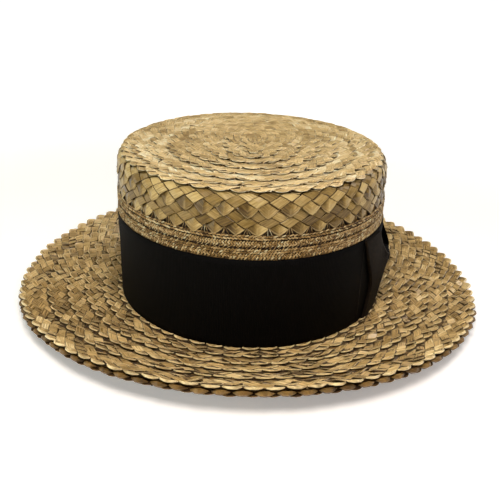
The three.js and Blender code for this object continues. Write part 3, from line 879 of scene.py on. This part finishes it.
def brim_under():
    """Under layer: one row of points that shows below the first layer, and rows that face the floor."""
    draw = np.random.default_rng(16)
    parts = brim_rows(LOWER_EDGE_ROW, 2, UNDER_TOP, LOWER_EDGE_PLAIT, draw, UNDER_SAG)
    parts += brim_rows(BELOW_ROW_EDGES[:2], 1, BELOW_FACE, BELOW_PLAIT, draw, UNDER_SAG, -1)
    parts += brim_rows(BELOW_ROW_EDGES[1:], 4, BELOW_FACE, BELOW_PLAIT, draw, UNDER_SAG, -1)
    parts.append(brim_sheet(UNDER_SHEET, UNDER_TOP, UNDER_SAG))
    straw_piece("brim_under_plait", "brim_under", [under_straw_painted_shade, backing], parts)


# Ribbon and bow

CLOTH = 0.5
RIBBON_MIDDLE = (BAND_TOP + BRIM_TOP + GAP) / 2
RIBBON_HALF = (BAND_TOP - BRIM_TOP - GAP) / 2 - 0.3
RIBBON_PROUD = 0.65
BAND_FACE = 1.3
BOW_ANGLE = -0.087
BOW_RADIUS = 100.0
# The band's top is pulled down at the bow: how far, and the square of the width in radians.
PULL = 1.2
PULL_SPREAD = 0.08
# Its end laps over its start: angle, step, and radians over which the step rises and then fades out.
LAP_ANGLE = BOW_ANGLE - 0.588
LAP_STEP = 0.3
LAP_RISE = 0.012
LAP_END = 0.9
LAP_FADE = 0.4
LAP_RIM = 0.01
LAP_RIM_HALF = 0.0044
# Its small waves: height, number round the crown, and slope.
BAND_WAVES = ((0.12, 5, 2), (0.08, 11, -3))
KNOT_HALF_WIDTH = 6.0
KNOT_HALF_HEIGHT = 4.0
KNOT_RAISE = -1.4
KNOT_DEPTH = 7.0
KNOT_SEAT = 0.4
KNOT_FOLD = 0.25
KNOT_ROUNDING = 0.6
# Loops of the bow, by side: distance from the knot's middle, heights of the top and bottom edges, and how
# proud the outer layer is of the band at its top, middle and bottom.
LOOP_TABLES = {
    -1: [(5.4, 34.6, 28.0, 7.0, 7.0, 5.6),
         (12.0, 36.5, 20.0, 6.2, 5.6, 3.6),
         (16.5, 38.5, 13.5, 5.4, 4.9, 2.6),
         (20.0, 44.5, 10.0, 2.4, 4.4, 2.2),
         (26.0, 51.5, 7.0, 1.2, 3.4, 2.0),
         (35.0, 60.0, 5.2, 1.3, 2.6, 1.8),
         (62.0, 60.6, 4.9, 1.5, 2.4, 1.8)],
    1: [(5.4, 34.6, 28.0, 7.4, 7.2, 6.6),
        (7.5, 38.5, 26.0, 7.0, 7.0, 5.6),
        (10.0, 44.0, 22.0, 4.6, 6.4, 4.4),
        (12.5, 50.0, 16.0, 1.7, 5.4, 3.0),
        (18.0, 58.0, 9.0, 1.1, 4.0, 2.2),
        (28.0, 60.4, 5.2, 1.3, 2.8, 1.8),
        (62.0, 60.6, 4.9, 1.5, 2.4, 1.8)],
}
# How far from the knot a loop's folded end lies, by height.
REACH_HEIGHTS = (4.0, 12.0, 20.0, 27.0, 34.0, 42.0, 50.0, 57.0, 62.0)
REACHES = (52.0, 49.0, 46.0, 44.8, 47.5, 52.0, 55.8, 58.5, 60.5)
# Share of the way round a loop where its fold starts, the fold's share and radius, and the inner layer's
# lift on the band and at the gather.
FOLD_START = 0.47
FOLD_SHARE = 0.06
FOLD_RADIUS = 0.8
INNER_LIFT = 0.5
INNER_GATHER = 4.0
# Pleats: height, half waves across the ribbon, and the length over which they fade.
PLEAT = 0.45
PLEAT_WAVES = 4.5
PLEAT_FADE = 8
# The front loop's upper edge shows a painted highlight along its rim, up to this height and from this far
# along, each with a fade.
RIM_HEIGHT = 54.0
RIM_HEIGHT_FADE = 6.0
RIM_START = 9.0
RIM_START_FADE = 4.0


def smooth(x):
    """Smooth step from 0 to 1: three x squared less two x cubed."""
    x = np.clip(x, 0, 1)
    return x * x * (3 - 2 * x)


def rounded(value):
    """Cosine or sine of a rounded box section: its size to a power, with its sign."""
    return np.sign(value) * np.abs(value) ** KNOT_ROUNDING


def cloth_piece(name, node, grid, uv, material, rim=0.0, closed=False):
    """Sheet of ribbon from a grid of points, closed round its first direction or open, given its
    thickness by a Solidify modifier. rim is where its edge is painted paler."""
    rows, columns = grid.shape[:2]
    number = np.arange(rows * columns).reshape(rows, columns)
    if closed:
        number = np.concatenate([number, number[:1]])
    quads = np.stack([number[:-1, :-1], number[1:, :-1], number[1:, 1:], number[:-1, 1:]], -1)
    faces = [(quads.reshape(-1, 4), 0)]
    look = np.zeros_like(grid)
    look[..., 1] = rim
    piece = new_piece(name, node, grid, faces, [material], uv, look, CLOTH_CREASE)
    wall = piece.modifiers.new("thickness", "SOLIDIFY")
    wall.thickness = CLOTH * MM
    wall.offset = 0
    return piece


def hat_band():
    """Ribbon round the crown: the wall's oval plus small waves, with a step where its end laps over its
    start in front of the bow."""
    angle, share = np.meshgrid(np.linspace(0, TURN, 720, endpoint=False), np.linspace(-1, 1, 15),
                               indexing="ij")
    pulled = np.exp(-((angle - BOW_ANGLE + math.pi) % TURN - math.pi) ** 2 / PULL_SPREAD)
    z = RIBBON_MIDDLE + RIBBON_HALF * share - PULL * pulled * np.maximum(share, 0)
    past = (angle - LAP_ANGLE) % TURN
    lap = LAP_STEP * smooth(past / LAP_RISE) * (1 - smooth((past - LAP_END) / LAP_FADE))
    wave = sum(high * np.sin(count * angle + slope * share) for high, count, slope in BAND_WAVES)
    grid = oval(angle, flare(z) + RIBBON_PROUD + lap + wave, z)
    uv = np.stack([angle * (HALF_X + HALF_Y) / 2, z], -1)
    rim = np.abs(past - LAP_RIM) < LAP_RIM_HALF
    piece = cloth_piece("hat_band_ribbon", "hat_band", grid, uv, ribbon_black, rim, closed=True)


def band_point(along, proud, z):
    """Point beside the band: along it from the bow's middle, proud of its face, at a height."""
    angle = BOW_ANGLE + along / BOW_RADIUS
    normal = np.stack([np.cos(angle) / HALF_X, np.sin(angle) / HALF_Y, np.zeros_like(angle)], -1)
    normal /= np.linalg.norm(normal, axis=-1, keepdims=True)
    return oval(angle, flare(z) + BAND_FACE, z) + np.asarray(proud)[..., None] * normal


def table(x, places, values):
    """Value read from a table by straight lines, then averaged over a few millimetres to round its
    corners."""
    return sum(np.interp(x + shift, places, values) for shift in (-2.0, -1.0, 0.0, 1.0, 2.0)) / 5


def run_along(grid):
    """Length from the first row of a grid of points to each of its rows."""
    return np.cumsum(np.linalg.norm(np.diff(grid, axis=0, prepend=grid[:1]), axis=-1), axis=0)


def bow_loop(name, node, side, material):
    """Loop of ribbon: out along the band, round a fold and back to the knot. The outer layer's edges and
    how proud it stands come from the table, by a parabola across its height, and the inner layer lies on
    the band. Pleats fade away from the knot."""
    places, *columns = zip(*LOOP_TABLES[side])
    step, share = np.meshgrid(np.linspace(0, 1, 97), np.linspace(-1, 1, 41), indexing="ij")
    fold = np.clip((step - FOLD_START) / FOLD_SHARE, 0, 1) * math.pi
    travel = np.minimum(np.where(step < 0.5, step, 1 - step) / FOLD_START, 1)
    outer = (1 - np.cos(fold)) / 2
    start = KNOT_HALF_WIDTH - 0.6
    reach = table(RIBBON_MIDDLE + RIBBON_HALF * share, REACH_HEIGHTS, REACHES)
    along = start + (reach - FOLD_RADIUS - start) * travel + FOLD_RADIUS * np.sin(fold)
    top, bottom, proud_top, proud_middle, proud_bottom = (
        table(along, places, column) for column in columns)
    z = (top + bottom) / 2 + (top - bottom) / 2 * share
    proud = proud_middle + (proud_top - proud_bottom) / 2 * share
    proud = proud + ((proud_top + proud_bottom) / 2 - proud_middle) * share ** 2
    gathered = np.exp(-(along - start) / PLEAT_FADE)
    pleat = PLEAT * np.cos(PLEAT_WAVES * math.pi * share) * gathered
    inner = INNER_LIFT + INNER_GATHER * gathered
    grid = band_point(side * along, inner + (proud + pleat - inner) * outer, z)
    rim = 0.0
    # The front loop's upper edge carries a painted highlight.
    if side < 0:
        below = 1 - smooth((top - RIM_HEIGHT) / RIM_HEIGHT_FADE)
        rim = np.maximum(share, 0) * below * smooth((along - RIM_START) / RIM_START_FADE)
    else:
        grid = grid[:, ::-1]
        share = share[:, ::-1]
    uv = np.stack([run_along(grid), RIBBON_HALF * share], -1)
    piece = cloth_piece(name, node, grid, uv, material, rim)


def bow_knot():
    """Wrap of ribbon round the gather: a rounded box section carried across the bow, waisted in the
    middle, with shallow folds round it."""
    turn, across = np.meshgrid(np.linspace(0, TURN, 64, endpoint=False), np.linspace(-1, 1, 25),
                               indexing="ij")
    waist = 0.9 + 0.1 * across ** 2
    folds = KNOT_FOLD * np.cos(3 * math.pi * across + 0.6 * np.sin(turn))
    z = RIBBON_MIDDLE + KNOT_RAISE + (KNOT_HALF_HEIGHT * waist + folds) * rounded(np.sin(turn))
    depth = KNOT_DEPTH / 2 * (1 + rounded(np.cos(turn)) * (0.95 + 0.05 * across ** 2))
    grid = band_point(-KNOT_HALF_WIDTH * across, KNOT_SEAT + depth + folds * np.cos(turn), z)
    uv = np.stack([KNOT_HALF_WIDTH * across, run_along(grid)], -1)
    piece = cloth_piece("bow_knot_ribbon", "bow_knot", grid, uv, ribbon_black, closed=True)


crown_tip()
side_plait()
braid_upper()
braid_lower()
crown_base()
brim()
brim_under()
hat_band()
bow_loop("bow_loop_front_ribbon", "bow_loop_front", -1, bow_black_painted_light)
# The back loop keeps the band's darker copy: painted shade inside the bow.
bow_loop("bow_loop_back_ribbon", "bow_loop_back", 1, ribbon_black)
bow_knot()


# Studio

PHOTO_WIDTH = 500
FOCAL_PIXELS = 831.1
SENSOR = 36.0
CAMERA_DISTANCE = 570.7
CAMERA_ELEVATION = math.radians(21.46)
CAMERA_ROLL = math.radians(2.01)
CAMERA_TURN = math.radians(-0.61)
CAMERA_AIM = Vector((0.72, 0.0, 26.5))
NEAREST_SEEN = 0.01
FLOOR_HALF = 2.6
# Painted glow of the floor, in the Map Range's own words: distances in metres and strengths.
FLOOR_GLOW = {"From Min": 0.25, "From Max": 0.9, "To Min": 0.3, "To Max": 1.0}
ROOM_LIGHT = 0.02
LIGHT_AIM = Vector((0, 0, 0.06))


def add_camera():
    """Camera at the photograph's angle: back along the aim by the distance, at the elevation, rolled
    about its axis and turned a little about the hat's own."""
    back = Vector((0, -math.cos(CAMERA_ELEVATION), math.sin(CAMERA_ELEVATION)))
    level = Vector((1, 0, 0))
    upright = back.cross(level)
    right = level * math.cos(CAMERA_ROLL) + upright * math.sin(CAMERA_ROLL)
    up = back.cross(right)
    turned = Matrix.Rotation(CAMERA_TURN, 4, "Z")
    axes = Matrix((right, up, back)).transposed().to_4x4()
    place = Matrix.Translation((CAMERA_AIM + back * CAMERA_DISTANCE) * MM)
    data = bpy.data.cameras.new("camera")
    data.sensor_width = SENSOR
    data.lens = FOCAL_PIXELS / PHOTO_WIDTH * SENSOR
    data.clip_start = NEAREST_SEEN
    camera = bpy.data.objects.new("camera", data)
    camera.matrix_world = turned @ place @ axes
    bpy.context.scene.collection.objects.link(camera)
    bpy.context.scene.camera = camera


def add_floor():
    """Plain pale floor, painted matt, with painted light: it glows, more away from the hat, so that it
    fades to white.
    """
    material, tree = new_material("matt_white_paint_painted_glow")
    place = add_node(tree, "TexCoord", "Object")
    away = add_node(tree, "VectorMath", "Value", {"Vector": place}, operation="LENGTH")
    glow = smooth_range(tree, away, FLOOR_GLOW)
    add_surface(tree, {"Base Color": linear("#fafafa"), "Roughness": 0.8, "Emission Strength": glow,
                       "Emission Color": linear("#ffffff")})
    mesh = bpy.data.meshes.new("floor")
    corners = [(x, y, 0) for x, y in ((-1, -1), (1, -1), (1, 1), (-1, 1))]
    mesh.from_pydata([Vector(corner) * FLOOR_HALF for corner in corners], [], [(0, 1, 2, 3)])
    mesh.materials.append(material)
    floor = bpy.data.objects.new("floor", mesh)
    bpy.context.scene.collection.objects.link(floor)


# Soft boxes: name, place and size in metres, watts and colour. Each one points at the crown.
SOFT_BOXES = [
    ("ceiling", (0.0, 0.0, 2.2), 4.0, 13.0, "#f9fff2"),
    ("top", (0.0, 0.0, 1.3), 0.45, 0.8, "#ffffff"),
    ("key", (0.0, -0.4, 0.56), 0.3, 3.3, "#fff4ec"),
    ("front right", (0.95, -0.95, 0.9), 0.6, 1.7, "#ffe6d6"),
    ("right", (1.3, 0.0, 0.8), 0.6, 1.5, "#ffe6d6"),
    ("back right", (0.9, 0.9, 0.9), 0.6, 5.2, "#ffffff"),
    ("back left", (-0.9, 0.9, 0.7), 0.6, 2.4, "#f6fbe4"),
    ("low left", (-1.3, -0.5, 0.3), 0.5, 6.0, "#f6fbe4"),
]


def add_lights():
    """Soft boxes, and a room all round that looks white but lights the hat only a little."""
    for name, place, size, watts, colour in SOFT_BOXES:
        data = bpy.data.lights.new(name, "AREA")
        data.size = size
        data.energy = watts
        data.color = linear(colour)[:3]
        light = bpy.data.objects.new(name, data)
        light.location = place
        aim = LIGHT_AIM - light.location
        light.rotation_euler = aim.to_track_quat("-Z", "Y").to_euler()
        bpy.context.scene.collection.objects.link(light)
    world = bpy.data.worlds.new("room")
    world.use_nodes = True
    tree = world.node_tree
    ray = add_node(tree, "LightPath", "Is Camera Ray")
    level = add_node(tree, "MapRange", "Result", {"Value": ray, "To Min": ROOM_LIGHT, "To Max": 1.0})
    room = tree.nodes["Background"].inputs
    tree.links.new(level, room["Strength"])
    room["Color"].default_value = linear("#ffffff")
    bpy.context.scene.world = world
    bpy.context.scene.view_settings.view_transform = "Standard"


add_camera()
add_floor()
add_lights()
